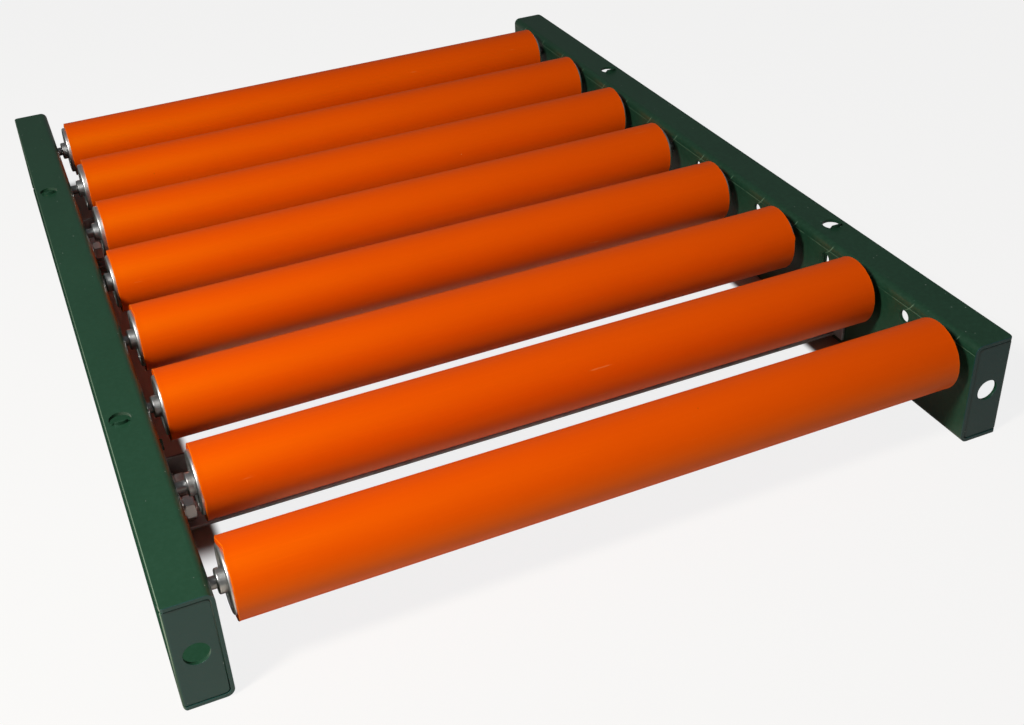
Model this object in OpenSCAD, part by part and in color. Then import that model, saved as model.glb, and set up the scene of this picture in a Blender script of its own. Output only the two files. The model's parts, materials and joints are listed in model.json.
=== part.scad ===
// Section of a gravity roller conveyor: sleeved rollers between two channel rails.
// X runs across the rails, Y along them and Z up. The origin is at the middle of
// the footprint, at the height of the surface that the rails stand on.
// Roller 1 is the one nearest the -Y end.

/* [Rails] */
// Clear width between the webs of the two rails
between_rails = 421.6; // [250:0.1:900]
// Height of a rail
rail_height = 65; // [58:0.5:100]
// Width of a rail's flanges, web included
flange_width = 25; // [18:0.5:50]
// Thickness of the rail and cross member sheet
sheet = 2; // [1.5:0.1:4]
// Outside radius of the bends in the sheet
bend_radius = 4.5; // [4.2:0.1:8]
// Radius of the flange corners, seen from above
flange_corner = 4; // [1:0.5:6]
// First roller's axle to the rail's -Y end
near_inset = 20.8; // [18:0.05:60]
// Last roller's axle to the rail's +Y end
far_inset = 55.4; // [20:0.05:90]
// Axle's centre to the top of the rails
axle_drop = 12.6; // [9:0.1:24]

/* [Flange holes] */
// Diameter of the holes in the top flanges
flange_hole = 12; // [6:0.1:13]
// Hole's centre to the web's roller side
flange_hole_in = 16.2; // [12:0.1:17]
// First hole to the rail's -Y end
flange_hole_from = 152.4; // [40:0.1:260]
// Distance between the two holes of a rail
flange_hole_pitch = 304.8; // [50:0.1:320]

/* [End plates] */
// Thickness of the plates that close the rails' ends
plate_t = 2; // [1.5:0.1:10]
// Diameter of the coupling hole in a plate
plate_hole = 13; // [6:0.1:16]
// Hole's centre to the web's roller side
plate_hole_in = 13.3; // [12:0.1:16]
// Gap left between a plate and the rail around it
plate_gap = 0.4; // [0.1:0.05:0.8]

/* [Rollers] */
// Number of rollers
roller_count = 8; // [2:1:8]
// Distance from axle to axle
roller_pitch = 76.2; // [50:0.1:150]
// Wall of the plastic sleeve
sleeve_wall = 3.3; // [1.5:0.1:6]
// Sleeve's end to the web of the rail
end_gap = 10.1; // [8:0.1:20]
// Outside diameter of the steel tube
tube_d = 34.9; // [30:0.1:36]
// Wall of the steel tube
tube_wall = 1.2; // [0.8:0.1:2]
// Length of tube that stands out of the sleeve
tube_reach = 3; // [1:0.1:5]
// Collar's end to the web: the room in which a roller floats sideways
collar_gap = 3.4; // [0.8:0.1:4]
// Where each roller lies in that room, from -1 to 1, roller 1 first
roller_float = [0.06, 0.68, -0.16, -0.17, -0.68, 0.36, 0.37, -0.05];

/* [Bearings and axles] */
// Diameter of the axle
axle_d = 6.35; // [5:0.05:8]
// Length of axle that stands out past the web
axle_tip = 3.5; // [3:0.1:6]
// Extra width of the axle holes in the webs
axle_play = 1.25; // [0.5:0.05:2]
// Gap between the axle and the inner race that it slides in
axle_slip = 0.08; // [0.03:0.01:0.1]
// Outside diameter of the inner race's collar
collar_d = 12.7; // [11:0.1:14]
// Diameter of a bearing ball
ball_d = 4.76; // [3:0.01:5.5]
// Number of balls in a bearing
ball_count = 8; // [5:1:9]
// Gap between a ball and its races
ball_play = 0.15; // [0.05:0.01:0.3]

/* [Axle spring] */
// Length of the spring at rest
spring_length = 32; // [22:0.5:60]
// Mean diameter of its coils
spring_d = 10; // [9:0.1:14]
// Diameter of its wire
spring_wire = 1; // [0.6:0.1:1.6]
// Number of its coils
spring_coils = 6; // [4:1:10]
// Diameter of the upset rings on the axle
ring_d = 11.6; // [11:0.1:15]
// Thickness of those rings
ring_t = 2; // [1:0.1:4]

/* [Cross members] */
// Front edge of the first cross member, from the rail's -Y end
near_member_from = 116; // [60:0.1:140]
// Front edge of the second cross member, from the rail's -Y end
far_member_from = 432.8; // [300:0.1:440]
// Width of the lying leg
member_width = 38.1; // [30:0.1:60]
// Height of the standing leg
member_height = 24; // [20:0.1:26]
// Gap between a cross member and the rollers above it
member_clear = 0.8; // [0.5:0.1:5]
// Length of end tab that reaches past the lying leg's front edge
tab_reach = 7.5; // [6:0.1:15]

/* [Fasteners] */
// Diameter of the bolts
bolt_d = 6.35; // [5:0.01:8.5]
// Width across the flats of the heads and nuts
hex_flats = 12.7; // [12:0.1:14]
// Height of a nut
nut_h = 6; // [4:0.05:8]
// Height of a bolt head
head_h = 4.6; // [3:0.1:5.6]
// Outside diameter of a washer
washer_d = 16; // [15:0.1:18]
// Thickness of a washer
washer_t = 1.6; // [1:0.1:2.5]
// Length of bolt that shows past the nut
bolt_tip = 1.5; // [0.5:0.1:3]
// Second bolt to the back of the standing leg
bolt_back = 12.1; // [11.5:0.1:14]
// Distance between the two bolts of a tab
bolt_pitch = 21; // [18.5:0.1:22]
// Bolts' centres to the underside of the cross member
bolt_up = 11.5; // [10:0.1:14]
// Turn of a nut on its bolt
nut_turn = 12; // [0:1:59]

/* [Hidden] */
roller_pieces = ["sleeve", "tube", "bearing_cups", "bearing_balls", "axle", "axle_spring"];

// Fineness of the round shapes
$fn = 64;
// Overshoot of a cut, so that it leaves no skin
over = 1;

// Rails
rail_length = near_inset + (roller_count - 1) * roller_pitch + far_inset;
web_x = between_rails / 2;
near_y = -rail_length / 2;
axle_z = rail_height - axle_drop;
axle_hole = axle_d + axle_play;
hole_pitch = roller_pitch / 2;
hole_count = floor((rail_length - near_inset - axle_hole) / hole_pitch) + 1;
function roller_y(k) = near_y + near_inset + (k - 1) * roller_pitch;

// Rollers: distances along the axle are measured from the roller's middle
sleeve_d = tube_d + 2 * sleeve_wall;
sleeve_end = web_x - end_gap;
tube_end = sleeve_end + tube_reach;
collar_end = web_x - collar_gap;
tube_in_r = tube_d / 2 - tube_wall;
function roller_shift(k) = roller_float[k - 1] * collar_gap;

// Bearings: the ball circle lies midway between the collar and the tube
press_gap = 0.02;
lip_t = tube_wall;
lip_r = tube_in_r - 1;
shield_t = 1.2;
shield_gap = 0.5;
dish = 1;
land = 1.2;
cup_end = tube_end - lip_t - press_gap;
ball_x = cup_end - dish - shield_t - ball_d / 2 - shield_gap;
ball_circle_r = (collar_d / 2 + tube_in_r) / 2;
race_r = ball_d / 2 + ball_play;
race_half = ball_d / 2 + 0.12;
cone_back = ball_x - ball_d / 2 - land;

// Axle spring: it sits between the inner race at -X and a ring on the axle
seat_gap = 0.2;
spring_from = -cone_back + seat_gap;
spring_to = spring_from + spring_length;
rings_per_coil = 12;
wire_sides = 6;

// Cross members hang below the rollers, between the webs
member_top = axle_z - sleeve_d / 2 - member_clear;
member_z = member_top - member_height;
bolt_hole = bolt_d + 0.6;
bolt_z = member_z + bolt_up;
thread_gap = 0.05;
function member_y(from) = near_y + from;

rail_green = [0.15, 0.31, 0.21];
sleeve_orange = [0.89, 0.34, 0.02];
plated = [0.78, 0.79, 0.78];
ground_steel = [0.55, 0.56, 0.57];
galvanized = [0.6, 0.61, 0.61];

// A rectangle with both corners of its -X side rounded
module round_backed(w, h, r) {
    translate([0, r])
        square([w, h - 2 * r]);
    translate([r, 0])
        square([w - r, h]);
    for (y = [r, h - r])
        translate([r, y])
            circle(r);
}

// Extrudes an XZ outline along Y, from y0 for a length
module along_y(y0, length) {
    translate([0, y0 + length, 0])
        rotate([90, 0, 0])
            linear_extrude(length)
                children();
}

// A round bar along X, from x0 to x1
module bar(x0, x1, d) {
    translate([x0, 0, 0])
        rotate([0, 90, 0])
            cylinder(h = x1 - x0, d = d);
}

// Turns a radius-and-distance outline into a solid about the X axis
module turned() {
    rotate([0, 90, 0])
        rotate_extrude()
            children();
}

// Copies its children to both ends of a roller
module both_ends() {
    for (side = [0, 1])
        mirror([side, 0, 0])
            children();
}

// Puts its children in roller k's place
module at_roller(k) {
    translate([roller_shift(k), roller_y(k), axle_z])
        children();
}

// Puts its children on each bolt of both cross members, pointing out at the +X side
module at_bolts() {
    for (from = [near_member_from, far_member_from])
        for (step = [0, bolt_pitch])
            both_ends()
                translate([web_x, member_y(from) + member_width - bolt_back - step, bolt_z])
                    children();
}

// A hexagonal prism along X
module hex_prism(x0, x1, turn) {
    translate([x0, 0, 0])
        rotate([turn, 0, 0])
            rotate([0, 90, 0])
                cylinder(h = x1 - x0, d = hex_flats / cos(30), $fn = 6);
}

module rail_outline() {
    difference() {
        round_backed(flange_width, rail_height, bend_radius);
        translate([sheet, sheet])
            round_backed(flange_width, rail_height - 2 * sheet, bend_radius - sheet);
    }
}

// What is taken off a flange corner at the +Y end to round it
module corner_cut() {
    translate([web_x + flange_width - flange_corner, -near_y - flange_corner, 0])
        difference() {
            translate([0, 0, -over])
                cube([flange_corner + over, flange_corner + over, rail_height + 2 * over]);
            translate([0, 0, -2 * over])
                cylinder(h = rail_height + 4 * over, r = flange_corner);
        }
}

// The rail at +X
module rail() {
    color(rail_green)
        difference() {
            translate([web_x, 0, 0])
                along_y(near_y, rail_length)
                    rail_outline();
            for (i = [0 : hole_count - 1])
                translate([web_x, roller_y(1) + i * hole_pitch, axle_z])
                    bar(-over, sheet + over, axle_hole);
            for (y = [0, flange_hole_pitch])
                translate([web_x + flange_hole_in, near_y + flange_hole_from + y, rail_height - 2 * sheet])
                    cylinder(h = 3 * sheet, d = flange_hole);
            at_bolts()
                bar(-over, sheet + over, bolt_hole);
            for (end = [0, 1])
                mirror([0, end, 0])
                    corner_cut();
        }
}

// The plate in the -Y end of the rail at +X
module end_plate() {
    x = sheet + plate_gap;
    z = sheet + plate_gap;
    color(rail_green)
        translate([web_x, 0, 0])
            along_y(near_y + plate_gap, plate_t)
                difference() {
                    translate([x, z])
                        round_backed(flange_width - x, rail_height - 2 * z, bend_radius - sheet);
                    translate([plate_hole_in, rail_height / 2])
                        circle(d = plate_hole);
                }
}

// An angle with its standing leg at the back and a bolting tab at each end
module cross_member(from) {
    y = member_y(from);
    color(galvanized)
        difference() {
            union() {
                translate([-web_x, y, member_z])
                    rotate([90, 0, 90])
                        linear_extrude(between_rails)
                            angle_outline();
                both_ends()
                    translate([web_x - sheet, y - tab_reach, member_z])
                        cube([sheet, member_width + tab_reach, member_height]);
            }
            at_bolts()
                bar(-sheet - over, over, bolt_hole);
        }
}

// The section of an angle, seen along the cross member
module angle_outline() {
    difference() {
        translate([member_width, 0])
            mirror([1, 0])
                corner_rounded(member_width, member_height, bend_radius);
        translate([member_width - sheet, sheet])
            mirror([1, 0])
                corner_rounded(member_width, member_height, bend_radius - sheet);
    }
}

// A rectangle with the corner at its origin rounded
module corner_rounded(w, h, r) {
    translate([0, r])
        square([w, h - r]);
    translate([r, 0])
        square([w - r, h]);
    translate([r, r])
        circle(r);
}

// Hex bolts from inside the rails, through the web and the tab
module cross_member_bolts() {
    grip = sheet + sheet + washer_t + nut_h + bolt_tip;
    color(plated)
        at_bolts()
            union() {
                hex_prism(sheet, sheet + head_h, 0);
                bar(sheet - grip, sheet + head_h / 2, bolt_d);
            }
}

module cross_member_washers() {
    color(plated)
        at_bolts()
            difference() {
                bar(-sheet - washer_t, -sheet, washer_d);
                bar(-sheet - washer_t - over, -sheet + over, bolt_hole);
            }
}

module cross_member_nuts() {
    face = -sheet - washer_t;
    color(plated)
        at_bolts()
            difference() {
                hex_prism(face - nut_h, face, nut_turn);
                bar(face - nut_h - over, face + over, bolt_d + 2 * thread_gap);
            }
}

// The inner race of one bearing, with the collar that stands out of the roller
module bearing_cone() {
    bore_r = axle_d / 2 + axle_slip;
    chamfer = 0.6;
    turned()
        difference() {
            polygon([
                [bore_r, cone_back],
                [ball_circle_r - land, cone_back],
                [ball_circle_r - land, ball_x + race_half],
                [collar_d / 2, ball_x + race_half],
                [collar_d / 2, collar_end - chamfer],
                [collar_d / 2 - chamfer, collar_end],
                [bore_r, collar_end]]);
            translate([ball_circle_r, ball_x])
                circle(race_r);
        }
}

module bearing_cones() {
    color(ground_steel)
        for (k = [1 : roller_count])
            at_roller(k)
                both_ends()
                    bearing_cone();
}

// The pressed outer race of one bearing, with the shield that closes the roller's end
module bearing_cup() {
    cup_r = tube_in_r - press_gap;
    land_r = ball_circle_r + land;
    eye_r = collar_d / 2 + shield_gap;
    turned()
        difference() {
            polygon([
                [cup_r, cone_back],
                [cup_r, cup_end],
                [lip_r - dish / 2, cup_end],
                [lip_r - 2 * dish, cup_end - dish],
                [eye_r + 2 * dish, cup_end - dish],
                [eye_r, cup_end - dish / 2],
                [eye_r, cup_end - dish / 2 - shield_t],
                [eye_r + 2 * dish, cup_end - dish - shield_t],
                [land_r, cup_end - dish - shield_t],
                [land_r, cone_back]]);
            translate([ball_circle_r, ball_x])
                circle(race_r);
        }
}

module bearing_cups(k) {
    color(plated)
        at_roller(k)
            both_ends()
                bearing_cup();
}

module bearing_balls(k) {
    color(ground_steel)
        at_roller(k)
            both_ends()
                for (i = [0 : ball_count - 1])
                    rotate([i * 360 / ball_count, 0, 0])
                        translate([ball_x, 0, ball_circle_r])
                            sphere(d = ball_d);
}

// The steel tube, its ends rolled in over the bearings
module tube(k) {
    color(plated)
        at_roller(k)
            turned()
                tube_wall_outline();
}

module tube_wall_outline() {
    straight = tube_end - lip_t;
    translate([tube_in_r, -straight])
        square([tube_wall, 2 * straight]);
    for (side = [0, 1])
        mirror([0, side]) {
            translate([lip_r, straight])
                square([tube_in_r - lip_r, lip_t]);
            translate([tube_in_r, straight])
                intersection() {
                    circle(tube_wall);
                    square(2 * tube_wall);
                }
        }
}

module sleeve(k) {
    color(sleeve_orange)
        at_roller(k)
            difference() {
                bar(-sleeve_end, sleeve_end, sleeve_d);
                bar(-sleeve_end - over, sleeve_end + over, tube_d + 2 * press_gap);
            }
}

// The axle, with one ring that the spring pushes on and one that stops at the other bearing
module axle(k) {
    tip = web_x + sheet + axle_tip;
    stop = cone_back - seat_gap;
    color(ground_steel)
        at_roller(k) {
            bar(-tip, tip, axle_d);
            bar(spring_to + seat_gap, spring_to + seat_gap + ring_t, ring_d);
            bar(stop - ring_t, stop, ring_d);
        }
}

// Point on the wire's skin: ring i of the coil, corner j of the ring
function wire_point(i, j) =
    let (turn = 360 * i / rings_per_coil,
         last = spring_coils * rings_per_coil,
         x = spring_wire / 2 + (spring_length - spring_wire) * i / last,
         corner = 360 * j / wire_sides,
         r = spring_d / 2 + spring_wire / 2 * cos(corner))
    [x + spring_wire / 2 * sin(corner), r * cos(turn), r * sin(turn)];

module axle_spring(k) {
    last = spring_coils * rings_per_coil;
    skin = [for (i = [0 : last]) for (j = [0 : wire_sides - 1]) wire_point(i, j)];
    walls = [for (i = [0 : last - 1]) for (j = [0 : wire_sides - 1])
        let (a = i * wire_sides + j,
             b = i * wire_sides + (j + 1) % wire_sides,
             c = b + wire_sides,
             d = a + wire_sides)
        each [[a, c, b], [a, d, c]]];
    caps = [for (j = [1 : wire_sides - 2])
        each [[0, j, j + 1],
              [last * wire_sides, last * wire_sides + j + 1, last * wire_sides + j]]];
    color(plated)
        at_roller(k)
            translate([spring_from, 0, 0])
                polyhedron(points = skin, faces = concat(walls, caps));
}

mirror([1, 0, 0]) rail();  // left_rail
rail();  // right_rail
mirror([1, 0, 0]) end_plate();  // left_near_end_plate
rotate([0, 0, 180]) end_plate();  // left_far_end_plate
end_plate();  // right_near_end_plate
mirror([0, 1, 0]) end_plate();  // right_far_end_plate
cross_member(near_member_from);  // near_cross_member
cross_member(far_member_from);  // far_cross_member
cross_member_bolts();
cross_member_nuts();
cross_member_washers();
bearing_cones();
for (k = [1 : roller_count]) {
    sleeve(k);
    tube(k);
    bearing_cups(k);
    bearing_balls(k);
    axle(k);
    axle_spring(k);
}
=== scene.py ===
import json
import math

import bmesh
import bpy
from mathutils import Matrix, Vector

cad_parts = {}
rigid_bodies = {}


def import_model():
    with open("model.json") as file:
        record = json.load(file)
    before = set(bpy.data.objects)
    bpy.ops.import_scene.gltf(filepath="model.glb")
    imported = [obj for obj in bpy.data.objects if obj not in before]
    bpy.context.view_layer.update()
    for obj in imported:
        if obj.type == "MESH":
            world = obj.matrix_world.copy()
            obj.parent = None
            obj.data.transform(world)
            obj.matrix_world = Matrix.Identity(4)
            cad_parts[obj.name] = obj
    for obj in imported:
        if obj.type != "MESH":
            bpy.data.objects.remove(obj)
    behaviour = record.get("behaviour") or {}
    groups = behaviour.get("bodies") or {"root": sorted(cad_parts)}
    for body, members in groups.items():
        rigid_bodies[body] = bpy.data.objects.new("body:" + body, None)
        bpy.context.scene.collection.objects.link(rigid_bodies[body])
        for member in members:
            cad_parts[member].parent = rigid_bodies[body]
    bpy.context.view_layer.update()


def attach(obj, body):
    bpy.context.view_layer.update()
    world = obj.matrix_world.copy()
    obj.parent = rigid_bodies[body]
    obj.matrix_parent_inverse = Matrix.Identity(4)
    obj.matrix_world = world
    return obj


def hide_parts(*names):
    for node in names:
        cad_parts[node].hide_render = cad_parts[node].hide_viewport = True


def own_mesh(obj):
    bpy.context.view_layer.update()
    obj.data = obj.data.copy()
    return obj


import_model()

# ---------------------------------------------------------------------------------------------------
# Rails: two channels folded from 2 mm sheet steel, their webs towards the rollers and their flanges
# turned out. The holes are marked out by scribing and punched before folding. The green paint is sprayed
# on afterwards and the scribed marks show through it. A pale line is painted along the left rail's outer
# edge as a painted highlight.
RAIL_LENGTH = 0.6096
RAIL_HEIGHT = 0.065
NEAR_Y = -RAIL_LENGTH / 2
WEB_X = 0.2108
SHEET = 0.002
FLANGE = 0.025
FLANGE_CORNER = 0.004
BEND = 0.0045
AXLE_Z = 0.0524
ROLLER_PITCH = 0.0762
NEAR_INSET = 0.0208
FIRST_Y = NEAR_Y + NEAR_INSET
AXLE_HOLE = 0.0076
BOLT_HOLE = 0.00695
BOLT_Z = 0.01835
MEMBER_FRONTS = (-0.1888, 0.128)
BOLT_STEPS = (0.005, 0.026)
FLANGE_HOLE = 0.012
FLANGE_HOLES = (-0.1524, 0.1524)
FLANGE_HOLE_X = WEB_X + 0.0162
HOLE_CELL = 0.006
FLANGE_CELL = 0.0069
SCRIBED_Z = 0.0594
CLOSE = 1e-6
# Turns a flat circle to face along X, Y or Z.
FACING = (Matrix.Rotation(math.pi / 2, 4, "Y"), Matrix.Rotation(math.pi / 2, 4, "X"), Matrix.Identity(4))


def verts_in(geom):
    """The points among what an operator gives back."""
    return [g for g in geom if isinstance(g, bmesh.types.BMVert)]


def edges_of(verts):
    """The edges that meet at any of these points, each once."""
    return list({e for v in verts for e in v.link_edges})


def drawn_on(bm, vert, to):
    """Draws a section's next straight run, and gives its end."""
    end = bmesh.ops.extrude_vert_indiv(bm, verts=[vert])["verts"][0]
    bmesh.ops.translate(bm, verts=[end], vec=Vector(to) - end.co)
    return end


def bent_on(bm, vert, centre, axis, degrees, steps=8):
    """Draws a section's next bend, and gives its end."""
    bend = bmesh.ops.spin(bm, geom=[vert], cent=centre, axis=axis, angle=math.radians(degrees), steps=steps)
    return verts_in(bend["geom_last"])[0]


def drawn_out(bm, by):
    """Draws a whole section out to a sheet."""
    made = bmesh.ops.extrude_edge_only(bm, edges=bm.edges[:])
    bmesh.ops.translate(bm, verts=verts_in(made["geom"]), vec=by)


def marked_out(bm, axis, places):
    """Cuts the sheet along lines, so that every hole gets a square cell."""
    for place in places:
        at = Vector((0, 0, 0))
        at[axis] = place
        normal = Vector((0, 0, 0))
        normal[axis] = 1
        bmesh.ops.bisect_plane(bm, geom=bm.verts[:] + bm.edges[:] + bm.faces[:], plane_co=at,
                               plane_no=normal, dist=CLOSE)


def punched(bm, centre, axis, diameter, segments=40):
    """Punches a round hole in the cell that lies at centre."""
    cell = min(bm.faces, key=lambda f: (f.calc_center_bounds() - Vector(centre)).length)
    sides = cell.edges[:]
    bmesh.ops.delete(bm, geom=[cell], context="FACES_ONLY")
    rim = bmesh.ops.create_circle(bm, cap_ends=False, radius=diameter / 2, segments=segments,
                                  matrix=Matrix.Translation(centre) @ FACING[axis])
    bmesh.ops.triangle_fill(bm, use_beauty=True, use_dissolve=False, edges=sides + edges_of(rim["verts"]))


def faced(bm, towards, probe):
    """Turns an open sheet so that the face nearest to probe looks towards a direction."""
    bmesh.ops.recalc_face_normals(bm, faces=bm.faces[:])
    bm.normal_update()
    face = min(bm.faces, key=lambda f: (f.calc_center_median() - Vector(probe)).length)
    if face.normal.dot(Vector(towards)) < 0:
        bmesh.ops.reverse_faces(bm, faces=bm.faces[:])


def placed(bm, name, finish, body, nodes, sheet=0.0, edge=0.0004, segments=2):
    """Makes a finished piece of a mesh: sheet thickness, broken edges, shading, material and body."""
    mesh = bpy.data.meshes.new(name)
    bm.to_mesh(mesh)
    bm.free()
    mesh.polygons.foreach_set("use_smooth", [True] * len(mesh.polygons))
    mesh.materials.append(finish)
    piece = bpy.data.objects.new(name, mesh)
    bpy.context.scene.collection.objects.link(piece)
    if sheet:
        wall = piece.modifiers.new("sheet", "SOLIDIFY")
        wall.thickness = sheet
        wall.offset = -1
        wall.use_even_offset = True
    if edge:
        broken = piece.modifiers.new("broken_edges", "BEVEL")
        broken.width = edge
        broken.segments = segments
        broken.profile = 0.5
        broken.limit_method = "ANGLE"
        broken.angle_limit = math.radians(40)
    shading = piece.modifiers.new("shading", "WEIGHTED_NORMAL")
    shading.keep_sharp = True
    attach(piece, body)
    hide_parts(*nodes)
    return piece


class Shade:
    """A value, colour or vector that varies over a surface; sums and products of it add their nodes."""

    def __init__(self, tree, socket):
        self.tree, self.socket = tree, socket

    def node(self, kind, settings=None, sockets=None, out=0):
        made = self.tree.nodes.new(kind)
        for name, value in (settings or {}).items():
            setattr(made, name, value)
        for name, value in (sockets or {}).items():
            if isinstance(value, Shade):
                self.tree.links.new(value.socket, made.inputs[name])
            else:
                made.inputs[name].default_value = value
        return Shade(self.tree, made.outputs[out])

    def also(self, name):
        return Shade(self.tree, self.socket.node.outputs[name])

    def into(self, node, name):
        self.tree.links.new(self.socket, node.inputs[name])

    def maths(self, operation, *others):
        return self.node("ShaderNodeMath", {"operation": operation}, dict(enumerate((self,) + others)))

    def __add__(self, other):
        return self.maths("ADD", other)

    __radd__ = __add__

    def __sub__(self, other):
        return self.maths("SUBTRACT", other)

    def __rsub__(self, other):
        return self.node("ShaderNodeMath", {"operation": "SUBTRACT"}, {0: other, 1: self})

    def __mul__(self, other):
        return self.maths("MULTIPLY", other)

    __rmul__ = __mul__

    def __mod__(self, other):
        return self.maths("FLOORED_MODULO", other)

    def __abs__(self):
        return self.maths("ABSOLUTE")

    def axis(self, name):
        return self.node("ShaderNodeSeparateXYZ", {}, {0: self}, name)

    def scaled(self, x, y, z):
        return self.node("ShaderNodeVectorMath", {"operation": "MULTIPLY"}, {0: self, 1: (x, y, z)})

    def noise(self, scale, detail=2.0, roughness=0.5):
        return self.node("ShaderNodeTexNoise", {},
                         {"Vector": self, "Scale": scale, "Detail": detail, "Roughness": roughness})

    def step(self, low, high):
        return self.node("ShaderNodeMapRange", {"interpolation_type": "SMOOTHSTEP"},
                         {0: self, 1: low, 2: high})

    def blend(self, first, second):
        return self.node("ShaderNodeMix", {"data_type": "RGBA"}, {0: self, 6: first, 7: second}, 2)

    def bump(self, shader, strength, distance):
        sockets = {"Strength": strength, "Distance": distance, "Height": self}
        self.node("ShaderNodeBump", {}, sockets).into(shader, "Normal")


def new_finish(name, **constants):
    """A new material: its shader with the constants set, and the surface's own coordinates."""
    finish = bpy.data.materials.new(name)
    finish.use_nodes = True
    shader = finish.node_tree.nodes["Principled BSDF"]
    for socket, value in constants.items():
        shader.inputs[socket.replace("_", " ")].default_value = value
    coords = finish.node_tree.nodes.new("ShaderNodeTexCoord")
    return finish, shader, Shade(finish.node_tree, coords.outputs["Object"])


def green_paint_finish():
    finish, shader, at = new_finish("green_paint", Specular_IOR_Level=0.45)
    cloud = at.noise(16.0, 3.0)
    grain = at.noise(420.0, 2.0)
    # Painted shade: the green is made deeper towards the right rail and the far end, where less lamp light
    # falls.
    painted_falloff_shade = (at.axis("X") * 0.8 + at.axis("Y") * 0.5).step(-0.30, 0.25)
    tone = cloud * 0.5 + (1 - painted_falloff_shade) * 0.45
    deep, fresh, light = (0.0080, 0.036, 0.0168, 1), (0.0172, 0.068, 0.0330, 1), (0.022, 0.077, 0.041, 1)
    # Painted reflection: the end faces get a cooler, bluer green that stands in for the cool reflection they
    # show.
    painted_cool_reflection_deep, painted_cool_reflection_fresh = (0.0010, 0.034, 0.043, 1), (0.0220, 0.073, 0.057, 1)
    dust, bared, rubbed_and_edge_highlight = (0.34, 0.40, 0.34, 1), (0.14, 0.25, 0.15, 1), (0.30, 0.42, 0.28, 1)
    colour = tone.blend(deep, fresh)
    on_end = abs(at.axis("Y")).step(0.30415, 0.30435)
    colour = on_end.blend(colour, tone.blend(painted_cool_reflection_deep, painted_cool_reflection_fresh))
    colour = (grain.step(0.35, 0.75) * 0.35 * (1 - on_end * 0.8)).blend(colour, light)
    speck = at.node("ShaderNodeTexVoronoi", {}, {"Vector": at, "Scale": 300.0}, "Distance")
    chosen = speck.also("Color").axis("X").step(0.90, 0.91)
    specks = (1 - speck.step(0.07, 0.12)) * chosen
    colour = (specks * 0.7).blend(colour, dust)
    on_bend = 1 - abs(at.axis("X")).step(0.2138, 0.2146)
    rise = at.axis("Z") - AXLE_Z - AXLE_HOLE / 2
    tick_y = at.axis("Y") - FIRST_Y - 0.0011 + rise * 1.615 - rise * rise * 98.4 + ROLLER_PITCH / 4
    tick_y = abs(tick_y % (ROLLER_PITCH / 2) - ROLLER_PITCH / 4)
    tick = (1 - tick_y.step(0.00018, 0.00052)) * rise.step(0.0002, 0.0020) * (1 - rise.step(0.0060, 0.0080))
    line = 1 - abs(at.axis("Z") - SCRIBED_Z).step(0.00010, 0.00026)
    scribed = line * at.noise(60.0, 3.0).step(0.37, 0.49)
    marks = tick.maths("MAXIMUM", scribed * 0.9) * on_bend * (1 - on_end)
    colour = (marks * 0.85).blend(colour, bared)
    # Painted highlight: a pale line along the left rail's outer edges, fading towards the bottom and the far
    # end, stands in for the highlight those edges catch.
    outer = at.axis("X") * -1
    painted_edge_highlight = outer.step(0.2351, 0.2354) * (1 - outer.step(0.2355, 0.2357)) * (0.5 + at.noise(70.0, 3.0) * 0.6)
    painted_edge_highlight = painted_edge_highlight * at.axis("Z").step(0.016, 0.046) * (1 - at.axis("Y").step(-0.31, 0.10) * 0.65)
    painted_edge_highlight.blend(colour, rubbed_and_edge_highlight).into(shader, "Base Color")
    (0.30 + cloud * 0.08 + grain * 0.08 + specks * 0.2).into(shader, "Roughness")
    peel = at.noise(520.0, 1.0) * 0.6 + at.noise(150.0, 2.0) * 0.4 - marks * 0.6
    peel.bump(shader, 0.35, 0.00012)
    return finish


green_paint = green_paint_finish()
axle_holes = [FIRST_Y + i * ROLLER_PITCH / 2 for i in range(16)]
bolt_holes = [front + step for front in MEMBER_FRONTS for step in BOLT_STEPS]

for side, name in ((-1, "left_rail"), (1, "right_rail")):
    rail = bmesh.new()
    lip = rail.verts.new((WEB_X + FLANGE, NEAR_Y, 0))
    run = drawn_on(rail, lip, (WEB_X + BEND, NEAR_Y, 0))
    run = bent_on(rail, run, (WEB_X + BEND, NEAR_Y, BEND), (0, 1, 0), 90)
    run = drawn_on(rail, run, (WEB_X, NEAR_Y, RAIL_HEIGHT - BEND))
    run = bent_on(rail, run, (WEB_X + BEND, NEAR_Y, RAIL_HEIGHT - BEND), (0, 1, 0), 90)
    drawn_on(rail, run, (WEB_X + FLANGE, NEAR_Y, RAIL_HEIGHT))
    drawn_out(rail, (0, RAIL_LENGTH, 0))
    marked_out(rail, 1, [y + s * HOLE_CELL for y in axle_holes + bolt_holes for s in (-1, 1)])
    marked_out(rail, 1, [y + s * FLANGE_CELL for y in FLANGE_HOLES for s in (-1, 1)])
    marked_out(rail, 2, [AXLE_Z - HOLE_CELL, AXLE_Z + HOLE_CELL, BOLT_Z - HOLE_CELL, BOLT_Z + HOLE_CELL])
    marked_out(rail, 0, [FLANGE_HOLE_X - FLANGE_CELL, FLANGE_HOLE_X + FLANGE_CELL])
    for y in axle_holes:
        punched(rail, (WEB_X, y, AXLE_Z), 0, AXLE_HOLE)
    for y in bolt_holes:
        punched(rail, (WEB_X, y, BOLT_Z), 0, BOLT_HOLE)
    for y in FLANGE_HOLES:
        punched(rail, (FLANGE_HOLE_X, y, RAIL_HEIGHT), 2, FLANGE_HOLE)
    corners = [v for v in rail.verts if abs(v.co.x - WEB_X - FLANGE) < CLOSE and
               abs(abs(v.co.y) + NEAR_Y) < CLOSE]
    bmesh.ops.bevel(rail, geom=corners, offset=FLANGE_CORNER, affect="VERTICES", segments=6, profile=0.5,
                    material=-1)
    if side < 0:
        bmesh.ops.scale(rail, vec=(-1, 1, 1), verts=rail.verts[:])
    faced(rail, (-side, 0, 0), (side * WEB_X, 0, 0.03))
    placed(rail, name + "_channel", green_paint, "frame", [name], sheet=SHEET, edge=0.0004,
           segments=3)

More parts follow.
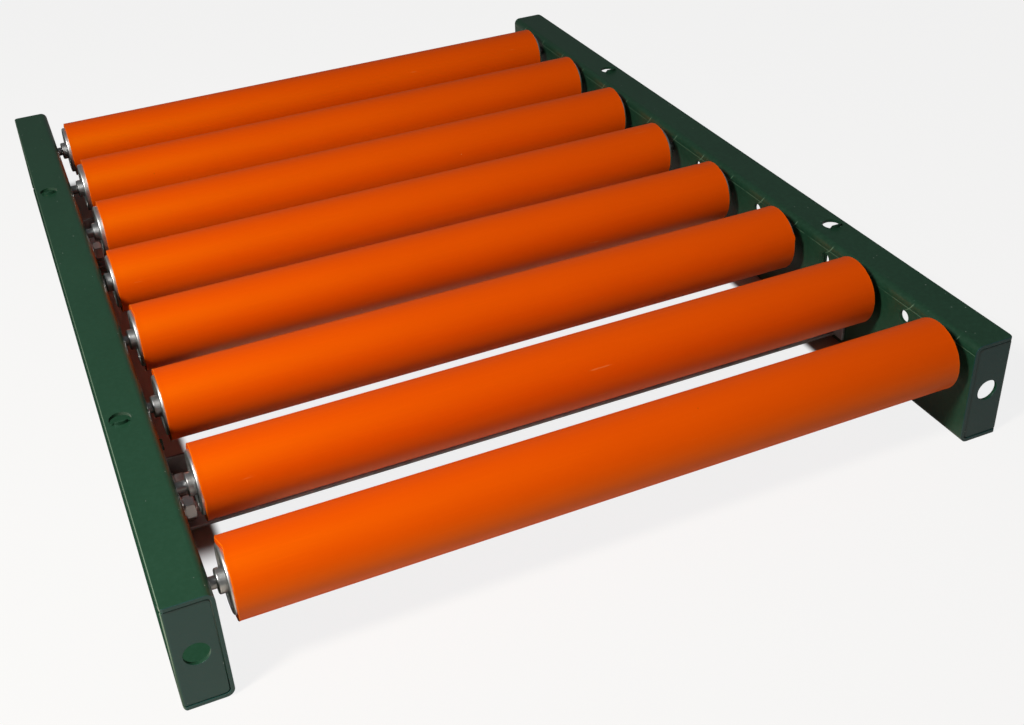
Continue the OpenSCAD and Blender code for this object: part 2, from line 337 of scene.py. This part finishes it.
# ---------------------------------------------------------------------------------------------------
# End plates: a blank of the same sheet set into each rail end, almost flush with it, welded behind and
# painted with the rail. Its outer edge is rolled round, and one hole takes the bolt to the next section.
PLATE_T = 0.002
PLATE_GAP = 0.0004
PLATE_TOP_GAP = 0.0006
PLATE_X = (WEB_X + SHEET + PLATE_GAP, WEB_X + FLANGE)
PLATE_Z = (SHEET + PLATE_GAP, RAIL_HEIGHT - SHEET - PLATE_TOP_GAP)
PLATE_BACK = 0.0004
PLATE_HOLE = 0.013
PLATE_HOLE_X = 0.2241
PLATE_CELL = 0.009
PLATE_CORNER = 0.0025
PLATE_ROLL = 0.0015

for side, across in ((-1, "left"), (1, "right")):
    for end, along in ((-1, "near"), (1, "far")):
        plate = bmesh.new()
        y = end * (RAIL_LENGTH / 2 - PLATE_BACK)
        outline = [plate.verts.new((side * PLATE_X[i], y, PLATE_Z[j]))
                   for i, j in ((0, 0), (1, 0), (1, 1), (0, 1))]
        plate.faces.new(outline)
        bmesh.ops.bevel(plate, geom=[outline[0], outline[3]], offset=PLATE_CORNER, affect="VERTICES",
                        segments=5, profile=0.5, material=-1)
        marked_out(plate, 0, [side * (PLATE_HOLE_X - PLATE_CELL), side * (PLATE_HOLE_X + PLATE_CELL)])
        marked_out(plate, 2, [RAIL_HEIGHT / 2 - PLATE_CELL, RAIL_HEIGHT / 2 + PLATE_CELL])
        punched(plate, (side * PLATE_HOLE_X, y, RAIL_HEIGHT / 2), 1, PLATE_HOLE, 48)
        faced(plate, (0, -end, 0), (side * PLATE_HOLE_X, y, 0.01))
        back = bmesh.ops.extrude_face_region(plate, geom=plate.faces[:], use_keep_orig=True)
        bmesh.ops.translate(plate, verts=verts_in(back["geom"]), vec=(0, -end * PLATE_T, 0))
        bmesh.ops.recalc_face_normals(plate, faces=plate.faces[:])
        outer = [e for e in plate.edges if all(abs(abs(v.co.x) - PLATE_X[1]) < CLOSE for v in e.verts)]
        rolled = [e for e in outer if all(abs(v.co.y - y) < CLOSE for v in e.verts) or
                  all(min(abs(v.co.z - z) for z in PLATE_Z) < CLOSE for v in e.verts)]
        bmesh.ops.bevel(plate, geom=rolled, offset=PLATE_ROLL, affect="EDGES", segments=6, profile=0.5,
                        material=-1)
        node = across + "_" + along + "_end_plate"
        placed(plate, node + "_blank", green_paint, "frame", [node], edge=0.0002)

# ---------------------------------------------------------------------------------------------------
# Cross members: two angles folded from galvanised sheet that lie under the rollers and tie the rails
# together. A tab on each end, drilled for two bolts, stands against the web.
MEMBER_W = 0.0381
MEMBER_H = 0.024
MEMBER_Z = 0.00685
TAB_REACH = 0.0075


def galvanised_finish():
    finish, shader, at = new_finish("galvanised_sheet", Metallic=0.9)
    spangle = at.node("ShaderNodeTexVoronoi", {}, {"Vector": at, "Scale": 110.0}, "Color").axis("X")
    stain = at.noise(28.0, 4.0, 0.6)
    dark, bright, stained = (0.30, 0.30, 0.295, 1), (0.46, 0.46, 0.455, 1), (0.20, 0.18, 0.165, 1)
    colour = (stain.step(0.45, 0.75) * 0.55).blend(spangle.blend(dark, bright), stained)
    colour.into(shader, "Base Color")
    (0.42 + spangle * 0.12 + stain * 0.12).into(shader, "Roughness")
    rough = at.noise(900.0, 2.0) * 0.5 + spangle * 0.5
    rough.bump(shader, 0.25, 0.00008)
    return finish


def gathered(bm, source, moves):
    """Adds a copy of a finished shape to bm for every move, turning its faces out again after a mirror."""
    shape = bpy.data.meshes.new("shape")
    source.to_mesh(shape)
    for move in moves:
        fresh = bmesh.new()
        fresh.from_mesh(shape)
        bmesh.ops.transform(fresh, matrix=move, verts=fresh.verts[:])
        if move.determinant() < 0:
            bmesh.ops.reverse_faces(fresh, faces=fresh.faces[:])
        copy = bpy.data.meshes.new("copy")
        fresh.to_mesh(copy)
        fresh.free()
        bm.from_mesh(copy)
        bpy.data.meshes.remove(copy)
    bpy.data.meshes.remove(shape)
    source.free()


galvanised_sheet = galvanised_finish()

for front, name in zip(MEMBER_FRONTS, ("near_cross_member", "far_cross_member")):
    angle = bmesh.new()
    x = SHEET - WEB_X
    back, top = front + MEMBER_W, MEMBER_Z + MEMBER_H
    run = drawn_on(angle, angle.verts.new((x, front, MEMBER_Z)), (x, back - BEND, MEMBER_Z))
    run = bent_on(angle, run, (x, back - BEND, MEMBER_Z + BEND), (1, 0, 0), 90)
    drawn_on(angle, run, (x, back, top))
    drawn_out(angle, (-2 * x, 0, 0))
    faced(angle, (0, 0, -1), (0, front + 0.01, MEMBER_Z))
    for side in (-1, 1):
        tab = bmesh.new()
        tab.faces.new([tab.verts.new((side * WEB_X, y, z)) for y, z in (
            (front - TAB_REACH, MEMBER_Z), (back, MEMBER_Z), (back, top), (front - TAB_REACH, top))])
        marked_out(tab, 1, [front + step + s * HOLE_CELL for step in BOLT_STEPS for s in (-1, 1)])
        marked_out(tab, 2, [BOLT_Z - HOLE_CELL, BOLT_Z + HOLE_CELL])
        for step in BOLT_STEPS:
            punched(tab, (side * WEB_X, front + step, BOLT_Z), 0, BOLT_HOLE)
        faced(tab, (side, 0, 0), (side * WEB_X, front + 0.0155, BOLT_Z))
        gathered(angle, tab, [Matrix.Identity(4)])
    placed(angle, name + "_angle", galvanised_sheet, "frame", [name], sheet=SHEET,
           edge=0.0004)

# ---------------------------------------------------------------------------------------------------
# Cross member fasteners: zinc plated hexagon bolts put in from the channel side, each with a washer and
# a nut on the roller side. About one thread stands out of the nut.
BOLT_R = 0.003175
HEX = 0.0127
HEAD_H = 0.0046
NUT_H = 0.006
WASHER_T = 0.0016
WASHER_R = 0.008
FACE_R = HEX * 0.475
CHAMFER_SLOPE = 0.577
THREAD_PITCH = 0.00127
THREAD_DEPTH = 0.0006
THREADS = 6
BOLT_TIP = 0.0015
SHANK_SINK = 0.001
NUT_TURN = 12
NUT_PLAY = 0.00005
BORE_SINK = 0.0005
BORE_FLARE = 0.0004


def zinc_finish():
    finish, shader, at = new_finish("zinc_plate", Metallic=0.95)
    haze = at.noise(240.0, 3.0)
    dull, bright, handled = (0.55, 0.55, 0.53, 1), (0.72, 0.72, 0.70, 1), (0.40, 0.37, 0.31, 1)
    colour = (at.noise(60.0, 4.0).step(0.55, 0.8) * 0.4).blend(haze.blend(dull, bright), handled)
    colour.into(shader, "Base Color")
    (0.26 + haze * 0.18).into(shader, "Roughness")
    at.noise(1800.0, 1.0).bump(shader, 0.15, 0.00005)
    return finish


def ring_verts(bm, radius, x, segments):
    """A ring of points about the X axis, at x."""
    place = Matrix.Translation((x, 0, 0)) @ FACING[0]
    return bmesh.ops.create_circle(bm, cap_ends=False, radius=radius, segments=segments, matrix=place)["verts"]


def hex_ring(bm, x, fall):
    """A hexagon's edge at x, whose corners fall back as a turned chamfer cuts them."""
    bmesh.ops.subdivide_edges(bm, edges=edges_of(ring_verts(bm, HEX / math.sqrt(3), x, 6)), cuts=5)
    verts = [v for v in bm.verts if abs(v.co.x - x) < CLOSE and v.is_wire and
             math.hypot(v.co.y, v.co.z) > HEX * 0.499]
    for v in verts:
        bmesh.ops.translate(bm, verts=[v], vec=(fall * (math.hypot(v.co.y, v.co.z) - FACE_R), 0, 0))
    return [e for e in edges_of(verts) if e.is_wire]


def turned(bm, outline, closed=True, steps=96):
    """Turns an outline of points (x, radius) about the X axis."""
    verts = [bm.verts.new((x, 0, r)) for x, r in outline]
    edges = [bm.edges.new(pair) for pair in zip(verts, verts[1:] + verts[:1] if closed else verts[1:])]
    bmesh.ops.spin(bm, geom=verts + edges, cent=(0, 0, 0), axis=(1, 0, 0), angle=2 * math.pi,
                   steps=steps, use_merge=True)
    bmesh.ops.remove_doubles(bm, verts=bm.verts[:], dist=1e-7)
    bmesh.ops.recalc_face_normals(bm, faces=bm.faces[:])


def hexagon(bm, low, high, bore):
    """A chamfered hexagon head or nut along X, from low to high, with a bore if it has one."""
    at_low = hex_ring(bm, low, CHAMFER_SLOPE)
    at_high = hex_ring(bm, high, -CHAMFER_SLOPE)
    face_low, face_high = (edges_of(ring_verts(bm, FACE_R, x, 36)) for x in (low, high))
    bmesh.ops.bridge_loops(bm, edges=face_low + at_low)
    bmesh.ops.bridge_loops(bm, edges=at_low + at_high)
    bmesh.ops.bridge_loops(bm, edges=at_high + face_high)
    if bore:
        half = [(low, FACE_R), (low, bore + BORE_FLARE), (low + BORE_SINK, bore)]
        turned(bm, half + [(low + high - x, r) for x, r in half[::-1]], closed=False, steps=36)
    else:
        for face in (face_low, face_high):
            bmesh.ops.edgeloop_fill(bm, edges=face)


zinc_plate = zinc_finish()
MIRROR_X = Matrix.Scale(-1, 4, (1, 0, 0))
BOTH_SIDES = (MIRROR_X, Matrix.Identity(4))
bolt_places = [flip @ Matrix.Translation((WEB_X, y, BOLT_Z)) for y in bolt_holes for flip in BOTH_SIDES]

bolt = bmesh.new()
hexagon(bolt, SHEET, SHEET + HEAD_H, 0)
bmesh.ops.recalc_face_normals(bolt, faces=bolt.faces[:])
thread = [(SHEET + SHANK_SINK, 0), (SHEET + SHANK_SINK, BOLT_R), (-SHEET - WASHER_T, BOLT_R)]
tip = -SHEET - WASHER_T - NUT_H - BOLT_TIP
for i in range(THREADS, 0, -1):
    thread += [(tip + THREAD_PITCH * i, BOLT_R), (tip + THREAD_PITCH * (i - 0.5), BOLT_R - THREAD_DEPTH)]
thread += [(tip + 0.0004, BOLT_R - 0.0003), (tip, BOLT_R - 0.0008), (tip, 0)]
shank = bmesh.new()
turned(shank, thread, closed=False, steps=32)
gathered(bolt, shank, [Matrix.Identity(4)])
bolts = bmesh.new()
gathered(bolts, bolt, bolt_places)
placed(bolts, "bolts_zinc", zinc_plate, "frame", ["cross_member_bolts"], edge=0.00025)

washer = bmesh.new()
turned(washer, [(-SHEET, BOLT_HOLE / 2), (-SHEET, WASHER_R), (-SHEET - WASHER_T, WASHER_R),
                (-SHEET - WASHER_T, BOLT_HOLE / 2)], steps=64)
washers = bmesh.new()
gathered(washers, washer, bolt_places)
placed(washers, "washers_zinc", zinc_plate, "frame", ["cross_member_washers"], edge=0.0003)

nut = bmesh.new()
hexagon(nut, -SHEET - WASHER_T - NUT_H, -SHEET - WASHER_T, BOLT_R + NUT_PLAY)
bmesh.ops.rotate(nut, cent=(0, 0, 0), matrix=Matrix.Rotation(math.radians(NUT_TURN), 3, "X"),
                 verts=nut.verts[:])
bmesh.ops.recalc_face_normals(nut, faces=nut.faces[:])
nuts = bmesh.new()
gathered(nuts, nut, bolt_places)
placed(nuts, "nuts_zinc", zinc_plate, "frame", ["cross_member_nuts"], edge=0.00025)

# ---------------------------------------------------------------------------------------------------
# Inner races: turned and ground steel rings that stand still on the axles. Each runs on its balls inside
# the roller and has a collar that reaches out of the roller's end towards the web.
COLLAR_R = 0.00635
COLLAR_END = 0.2074
CONE_BACK = 0.19382
BALL_X = 0.1974
BALL_CIRCLE = 0.0113
RACE_R = 0.0025
RACE_BORE = 0.003255
RACE_LAND = 0.0012
COLLAR_CHAMFER = 0.0006
ROLLER_SHIFTS = (0.000204, 0.002312, -0.000544, -0.000578, -0.002312, 0.001224, 0.001258, -0.00017)


def ground_steel_finish():
    finish, shader, at = new_finish("ground_steel", Metallic=1.0)
    lines = at.scaled(1.0, 0.02, 0.02).noise(5200.0, 2.0)
    film = at.noise(120.0, 4.0)
    dull, bright, oiled = (0.52, 0.52, 0.51, 1), (0.70, 0.70, 0.68, 1), (0.25, 0.22, 0.19, 1)
    colour = (film.step(0.45, 0.8) * 0.5).blend(lines.blend(dull, bright), oiled)
    colour.into(shader, "Base Color")
    (0.24 + lines * 0.16 + film * 0.10).into(shader, "Roughness")
    lines.bump(shader, 0.2, 0.00004)
    return finish


ground_steel = ground_steel_finish()
roller_places = [Matrix.Translation((shift, FIRST_Y + i * ROLLER_PITCH, AXLE_Z))
                 for i, shift in enumerate(ROLLER_SHIFTS)]

race = bmesh.new()
groove = [(BALL_X - RACE_R * math.sin(math.radians(a)), BALL_CIRCLE - RACE_R * math.cos(math.radians(a)))
          for a in range(60, -61, -15)]
turned(race, [(CONE_BACK, RACE_BORE), (CONE_BACK, BALL_CIRCLE - RACE_LAND)] + groove + [
    (BALL_X + RACE_R, BALL_CIRCLE - RACE_LAND), (BALL_X + RACE_R, COLLAR_R),
    (COLLAR_END - COLLAR_CHAMFER, COLLAR_R), (COLLAR_END, COLLAR_R - COLLAR_CHAMFER),
    (COLLAR_END, RACE_BORE)], steps=64)
cones = bmesh.new()
gathered(cones, race, [place @ flip for place in roller_places for flip in BOTH_SIDES])
placed(cones, "inner_races", ground_steel, "frame", ["bearing_cones"], edge=0.0002)

# ---------------------------------------------------------------------------------------------------
# Rollers: a 34.9 mm plated steel tube with a pressed bearing cup in each end, held by the tube's end
# rolled in over it, and an orange plastic sleeve pushed over the tube and sawn off 3 mm short of its ends.
SLEEVE_R = 0.02075
SLEEVE_BORE = 0.01747
SLEEVE_HALF = 0.2007
SLEEVE_BURR = 0.00015
BURR_LENGTH = 0.0012
BURR_START = 0.003
TUBE_R = 0.01745
TUBE_IN = 0.01625
TUBE_WALL = 0.0012
TUBE_LIP_R = 0.01525
TUBE_HALF = 0.2037
CUP_R = 0.01623
CUP_BORE = 0.0125
CUP_END = 0.20248
CUP_SHIELD = ((0.0, 0.01475), (-0.001, 0.01325), (-0.001, 0.00885), (-0.0005, 0.00685), (-0.0017, 0.00685),
              (-0.0022, 0.00885), (-0.0022, CUP_BORE))
SLEEVE_CUTS = ((-0.0016, 0.0002), (-0.0013, 0.0005), (-0.0016, 0.0001), (-0.0011, 0.0), (-0.0009, -0.0004),
               (0.0001, 0.0002), (0.0004, 0.0002), (-0.0004, 0.0001))
SLEEVE_TEARS = ((1, -1, -0.35, 0.22, 0.0011), (1, -1, 0.12, 0.16, -0.0007), (3, 1, 1.15, 0.12, 0.0009),
                (2, -1, 1.5, 0.2, -0.0005), (4, -1, 0.3, 0.2, -0.0006), (5, -1, -0.2, 0.25, 0.0006))
SAW_WAVES = ((2, 0.00010, 1), (5, 0.00007, 3), (23, 0.00005, 7))


def orange_sleeve_finish():
    finish, shader, at = new_finish("orange_sleeve", Specular_IOR_Level=0.8,
                                    Specular_Tint=(1.0, 0.85, 0.0, 1), Coat_Weight=0.03, Coat_Roughness=0.12)
    deep, fresh, streaked = (0.85, 0.072, 0.0002, 1), (0.92, 0.084, 0.0003, 1), (0.94, 0.094, 0.0006, 1)
    dust, dirt = (0.92, 0.45, 0.22, 1), (0.16, 0.03, 0.005, 1)
    rubbed_and_edge_highlight, glow_orange = (0.93, 0.30, 0.09, 1), (1.0, 0.26, 0.004, 1)
    cloud = at.noise(9.0, 3.0)
    drawn = at.scaled(0.04, 1.0, 1.0).noise(900.0, 3.0)
    colour = (drawn.step(0.45, 0.8) * 0.3).blend(cloud.blend(deep, fresh), streaked)
    speck = at.node("ShaderNodeTexVoronoi", {}, {"Vector": at, "Scale": 46.0}, "Distance")
    chosen = speck.also("Color").axis("X")
    pale = (1 - speck.step(0.012, 0.026)) * chosen.step(0.93, 0.94)
    dark = (1 - speck.step(0.010, 0.020)) * (1 - chosen.step(0.06, 0.07))
    colour = (pale * 0.6).blend(colour, dust)
    colour = (dark * 0.7).blend(colour, dirt)
    scuff_line = at.scaled(0.10, 1.0, 1.0).noise(420.0, 3.0, 0.6).step(0.68, 0.74)
    scuff = scuff_line * at.noise(13.0, 2.0).step(0.58, 0.68)
    colour = (scuff * 0.35).blend(colour, rubbed_and_edge_highlight)
    # Painted highlight: the sawn outer edges are painted a lighter orange that stands in for the glow they
    # catch.
    painted_edge_glow = at.node("ShaderNodeAttribute", {"attribute_name": "painted_edge_glow"}, {}, "Fac")
    colour = (painted_edge_glow.step(0.75, 0.95) * 0.45).blend(colour, glow_orange)
    colour.into(shader, "Base Color")
    (0.48 + cloud * 0.08 + scuff * 0.2 + drawn * 0.06).into(shader, "Roughness")
    height = drawn * 0.5 + at.noise(60.0, 2.0) * 0.5 + scuff * 0.4
    height.bump(shader, 0.25, 0.00015)
    return finish


def sawn(bm, k):
    """Moves a sleeve's two ends to where they were sawn, a little uneven and torn, and marks their outer edges
    for a painted glow.
    """
    painted_edge_glow = bm.verts.layers.float.new("painted_edge_glow")
    for vert in bm.verts:
        if abs(vert.co.x) > SLEEVE_HALF - 0.0015:
            outside = math.hypot(vert.co.y, vert.co.z) > SLEEVE_R - 0.001
            vert[painted_edge_glow] = (1.0 if abs(vert.co.x) > SLEEVE_HALF - 0.0005 else 0.5) if outside else -2.0
            end = 1 if vert.co.x > 0 else -1
            turn = math.atan2(-vert.co.y, vert.co.z)
            phase = 2.1 * k + end
            by = SLEEVE_CUTS[k - 1][(end + 1) // 2]
            for waves, height, drift in SAW_WAVES:
                by += height * math.sin(waves * turn + drift * phase)
            for roller, side, middle, width, depth in SLEEVE_TEARS:
                if roller == k and side == end:
                    by += end * depth * math.exp(-((turn - middle) / width) ** 2)
            bmesh.ops.translate(bm, verts=[vert], vec=(by, 0, 0))


def plated_tube_finish():
    finish, shader, at = new_finish("plated_tube", Metallic=1.0)
    lines = at.scaled(1.0, 0.03, 0.03).noise(4200.0, 2.0)
    haze = at.noise(150.0, 4.0)
    dull, bright, hazed = (0.74, 0.74, 0.71, 1), (0.88, 0.88, 0.85, 1), (0.36, 0.33, 0.28, 1)
    colour = (haze.step(0.5, 0.8) * 0.45).blend(lines.blend(dull, bright), hazed)
    colour.into(shader, "Base Color")
    (0.30 + lines * 0.10 + haze * 0.08).into(shader, "Roughness")
    lines.bump(shader, 0.15, 0.00004)
    return finish


orange_sleeve = orange_sleeve_finish()
plated_tube = plated_tube_finish()

for k, place in enumerate(roller_places, 1):
    roller = "roller_%d" % k
    sleeve = bmesh.new()
    profile = [(SLEEVE_HALF - BURR_START, SLEEVE_R - SLEEVE_BURR),
               (SLEEVE_HALF - BURR_LENGTH, SLEEVE_R - SLEEVE_BURR),
               (SLEEVE_HALF, SLEEVE_R), (SLEEVE_HALF, SLEEVE_BORE)]
    turned(sleeve, profile + [(-x, r) for x, r in profile[::-1]], steps=120)
    sawn(sleeve, k)
    bmesh.ops.transform(sleeve, matrix=place, verts=sleeve.verts[:])
    placed(sleeve, roller + "_orange_sleeve", orange_sleeve, roller, [roller + "_sleeve"],
           edge=0.0003)

    tube = bmesh.new()
    curl = [(TUBE_HALF - TUBE_WALL + TUBE_WALL * math.sin(math.radians(a)),
             TUBE_R - TUBE_WALL + TUBE_WALL * math.cos(math.radians(a))) for a in range(0, 91, 15)]
    lip = [(TUBE_HALF - TUBE_WALL, TUBE_IN), (TUBE_HALF - TUBE_WALL, TUBE_LIP_R), (TUBE_HALF, TUBE_LIP_R)]
    half = lip + curl[::-1]
    turned(tube, half + [(-x, r) for x, r in half[::-1]])
    bmesh.ops.transform(tube, matrix=place, verts=tube.verts[:])
    placed(tube, roller + "_plated_tube", plated_tube, roller, [roller + "_tube"], edge=0.0003)

    cup = bmesh.new()
    seat = [(BALL_X - RACE_R * math.sin(math.radians(a)), BALL_CIRCLE + RACE_R * math.cos(math.radians(a)))
            for a in range(-60, 61, 15)]
    shield = [(CUP_END + x, r) for x, r in CUP_SHIELD]
    turned(cup, [(CONE_BACK, CUP_R), (CUP_END, CUP_R)] + shield + seat + [(CONE_BACK, CUP_BORE)], steps=72)
    cups = bmesh.new()
    gathered(cups, cup, [place @ MIRROR_X, place])
    placed(cups, roller + "_pressed_cups", plated_tube, roller, [roller + "_bearing_cups"],
           edge=0.0002)

# ---------------------------------------------------------------------------------------------------
# Balls: hardened and polished steel balls between the two races, eight to a bearing, as bought. Nothing
# but the races holds them, and their shape is the solids' own.


def polished_ball_finish():
    finish, shader, at = new_finish("polished_ball", Metallic=1.0)
    film = at.noise(800.0, 3.0)
    film.blend((0.46, 0.46, 0.46, 1), (0.58, 0.58, 0.58, 1)).into(shader, "Base Color")
    (0.08 + film * 0.10).into(shader, "Roughness")
    return finish


polished_ball = polished_ball_finish()
for k in range(1, 9):
    balls = bpy.data.objects["roller_%d_bearing_balls" % k]
    balls.data.materials.clear()
    balls.data.materials.append(polished_ball)

# ---------------------------------------------------------------------------------------------------
# Axles: 6.35 mm drawn steel bars whose ends lie in the web holes. A ring pressed on near one end takes the
# axle spring, and one near the other end stops the axle, so that it can be pushed in to lift the roller out.
AXLE_R = 0.003175
AXLE_TIP = 0.2163
TIP_CHAMFER = 0.0005
RING_R = 0.0058
SPRING_RING = (-0.16142, -0.15942)
STOP_RING = (0.19162, 0.19362)
SPRING_FROM = -0.19362
SPRING_TO = -0.16162
WIRE_R = 0.0005
COIL_R = 0.005
COILS = 6
COIL_STEPS = 28


def drawn_steel_finish():
    finish, shader, at = new_finish("drawn_steel", Metallic=1.0)
    lines = at.scaled(0.01, 1.0, 1.0).noise(4500.0, 2.0)
    film = at.noise(70.0, 4.0)
    dark, bright, rusty = (0.30, 0.30, 0.30, 1), (0.48, 0.48, 0.47, 1), (0.19, 0.15, 0.12, 1)
    colour = (film.step(0.5, 0.8) * 0.5).blend(lines.blend(dark, bright), rusty)
    colour.into(shader, "Base Color")
    (0.26 + lines * 0.14 + film * 0.12).into(shader, "Roughness")
    lines.bump(shader, 0.2, 0.00004)
    return finish


drawn_steel = drawn_steel_finish()
for k, place in enumerate(roller_places, 1):
    axle = bmesh.new()
    bar = [(-AXLE_TIP, 0), (-AXLE_TIP, AXLE_R - TIP_CHAMFER), (-AXLE_TIP + TIP_CHAMFER, AXLE_R)]
    for low, high in (SPRING_RING, STOP_RING):
        bar += [(low, AXLE_R), (low, RING_R), (high, RING_R), (high, AXLE_R)]
    bar += [(AXLE_TIP - TIP_CHAMFER, AXLE_R), (AXLE_TIP, AXLE_R - TIP_CHAMFER), (AXLE_TIP, 0)]
    turned(axle, bar, closed=False, steps=40)
    bmesh.ops.transform(axle, matrix=place, verts=axle.verts[:])
    placed(axle, "axle_%d_bar" % k, drawn_steel, "axle_%d" % k, ["roller_%d_axle" % k],
           edge=0.0002)

    spring = bmesh.new()
    first = SPRING_FROM + WIRE_R
    wire = bmesh.ops.create_circle(spring, cap_ends=True, radius=WIRE_R, segments=8,
                                   matrix=Matrix.Translation((first, 0, COIL_R)) @ FACING[1])
    steps = COILS * COIL_STEPS
    end = bmesh.ops.spin(spring, geom=edges_of(wire["verts"]) + wire["verts"], cent=(0, 0, 0), axis=(1, 0, 0),
                         dvec=((SPRING_TO - SPRING_FROM - 2 * WIRE_R) / steps, 0, 0),
                         angle=COILS * 2 * math.pi, steps=steps)
    last = [g for g in end["geom_last"] if isinstance(g, bmesh.types.BMEdge)]
    bmesh.ops.edgeloop_fill(spring, edges=last)
    bmesh.ops.recalc_face_normals(spring, faces=spring.faces[:])
    bmesh.ops.transform(spring, matrix=place, verts=spring.verts[:])
    piece = placed(spring, "axle_%d_spring_wire" % k, zinc_plate, "axle_%d" % k, ["roller_%d_axle_spring" % k],
                   edge=0)
    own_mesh(piece)

# ---------------------------------------------------------------------------------------------------
# Studio: a plain pale floor just under the part, one soft round lamp above from the near left, and a dim
# room with a paler horizon. The floor and room look near white to the camera without lighting the part
# more, and the strips of floor beneath the rails are left in their shadow.
FLOOR_SIZE = 20.0
FLOOR_Z = -0.0003
LAMP_PLACE = (-0.84, -0.55, 1.0)
LAMP_AIM = (0, 0, 0.04)
SEEN_FLOOR = 0.85
SEEN_ROOM = 0.9
SEEN_IN_GLOSS = 0.08

floor_mesh = bmesh.new()
bmesh.ops.create_grid(floor_mesh, x_segments=1, y_segments=1, size=FLOOR_SIZE,
                      matrix=Matrix.Translation((0, 0, FLOOR_Z)))
floor_data = bpy.data.meshes.new("floor")
floor_mesh.to_mesh(floor_data)
floor_mesh.free()
floor = bpy.data.objects.new("floor", floor_data)
bpy.context.scene.collection.objects.link(floor)

pale_floor, floor_shader, at = new_finish("pale_floor", Roughness=0.9, Specular_IOR_Level=0.0)
floor_shader.inputs["Base Color"].default_value = (0.66, 0.60, 0.52, 1)
sight = at.node("ShaderNodeLightPath", {}, {}, "Is Camera Ray")
plain = sight.maths("MAXIMUM", sight.also("Is Transmission Ray"))
beside = abs(at.axis("X"))
along = at.axis("Y").step(-0.215, -0.195) * (1 - at.axis("Y").step(0.290, 0.310))
open_floor = 1 - beside.step(0.190, 0.196) * (1 - beside.step(0.226, 0.236)) * along
seen = (plain * SEEN_FLOOR).maths("MAXIMUM", sight.also("Is Glossy Ray") * SEEN_IN_GLOSS) * open_floor
glow = at.node("ShaderNodeEmission", {}, {"Color": (1, 1, 1, 1), "Strength": 1.0})
lit = Shade(at.tree, floor_shader.outputs[0])
mixed = at.node("ShaderNodeMixShader", {}, {0: seen, 1: lit, 2: glow})
mixed.into(pale_floor.node_tree.nodes["Material Output"], "Surface")
floor_data.materials.append(pale_floor)

world = bpy.data.worlds.new("studio")
world.use_nodes = True
bpy.context.scene.world = world
sky = world.node_tree.nodes["Background"]
coords = world.node_tree.nodes.new("ShaderNodeTexCoord")
up = Shade(world.node_tree, coords.outputs["Generated"]).axis("Z")
room = up.step(0.0, 0.30).blend((0.14, 0.145, 0.155, 1), (0.045, 0.047, 0.053, 1))
sight = room.node("ShaderNodeLightPath", {}, {}, "Is Camera Ray")
plain = sight.maths("MAXIMUM", sight.also("Is Transmission Ray"))
seen = (plain * SEEN_ROOM).maths("MAXIMUM", sight.also("Is Glossy Ray") * SEEN_IN_GLOSS)
seen.blend(room, (0.93, 0.93, 0.93, 1)).into(sky, "Color")

lamp_data = bpy.data.lights.new("soft_lamp", "AREA")
lamp_data.shape = "DISK"
lamp_data.size = 0.22
lamp_data.energy = 17.6
lamp = bpy.data.objects.new("soft_lamp", lamp_data)
lamp.location = LAMP_PLACE
lamp.rotation_euler = (Vector(LAMP_AIM) - lamp.location).to_track_quat("-Z", "Y").to_euler()
bpy.context.scene.collection.objects.link(lamp)

# ---------------------------------------------------------------------------------------------------
# Camera: at the photograph's place and angle, as fitted to the edges of the rollers and rails. The shift
# only brings the part to where the photograph has it in the frame.
CAMERA_PLACE = (-0.244496, -0.742576, 0.467647)
CAMERA_TURN = (57.5979, 3.28192, -22.63847)

camera_data = bpy.data.cameras.new("camera")
camera_data.sensor_fit = "HORIZONTAL"
camera_data.sensor_width = 36
camera_data.lens = 45.236
camera_data.shift_x = 0.04016
camera_data.shift_y = -0.04405
camera_data.clip_start = 0.01
camera = bpy.data.objects.new("camera", camera_data)
camera.location = CAMERA_PLACE
camera.rotation_euler = [math.radians(a) for a in CAMERA_TURN]
bpy.context.scene.collection.objects.link(camera)
bpy.context.scene.camera = camera
bpy.context.scene.view_settings.view_transform = "Standard"
